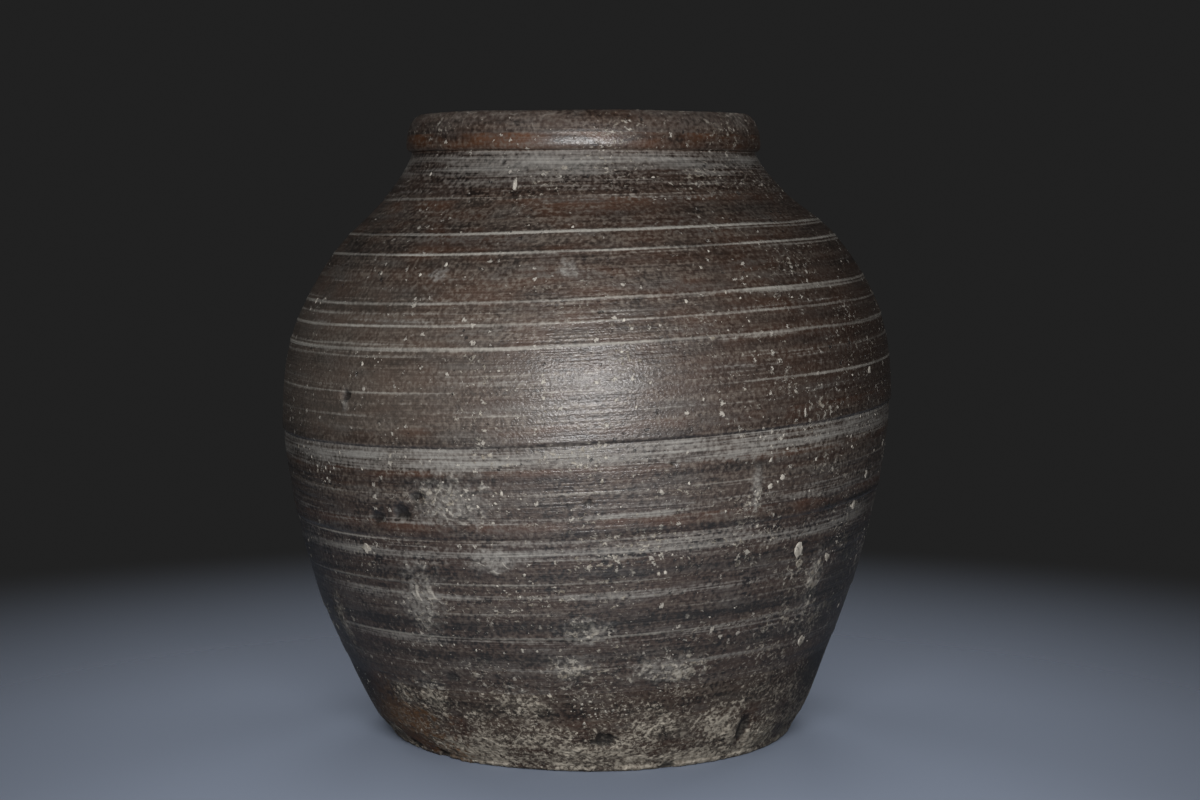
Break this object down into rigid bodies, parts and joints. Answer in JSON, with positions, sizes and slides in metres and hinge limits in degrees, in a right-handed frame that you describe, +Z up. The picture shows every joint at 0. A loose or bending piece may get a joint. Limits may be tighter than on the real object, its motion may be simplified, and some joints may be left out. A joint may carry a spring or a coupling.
{
  "type": "stoneware jar",
  "caption": "Open storage jar of unglazed brown stoneware: flat foot, broad leaning belly, rounded shoulder, short hollow neck and rolled lip.",
  "frame": {"origin": "centre of the flat underside", "axes": "+Z up through the mouth, front of the jar towards -Y, the courses of the wall lean up towards +X"},
  "size_m": [0.218, 0.218, 0.22],
  "materials": {
    "stoneware_foot": "matt unglazed stoneware with pale crust and cream specks",
    "stoneware_wall": "unglazed brown stoneware with a low sheen, fine turning lines and cream specks",
    "stoneware_lip": "smoothed unglazed stoneware with a low sheen and a grey bloom in the neck"
  },
  "bodies": {
    "root": {"base_disc": "stoneware_foot", "foot_course": "stoneware_foot", "lower_wall_course": "stoneware_wall", "middle_wall_course": "stoneware_wall", "upper_wall_course": "stoneware_wall", "belly_course": "stoneware_wall", "shoulder_course": "stoneware_wall", "upper_shoulder_course": "stoneware_wall", "neck_collar": "stoneware_lip", "rolled_lip": "stoneware_lip"}
  },
  "joints": []
}
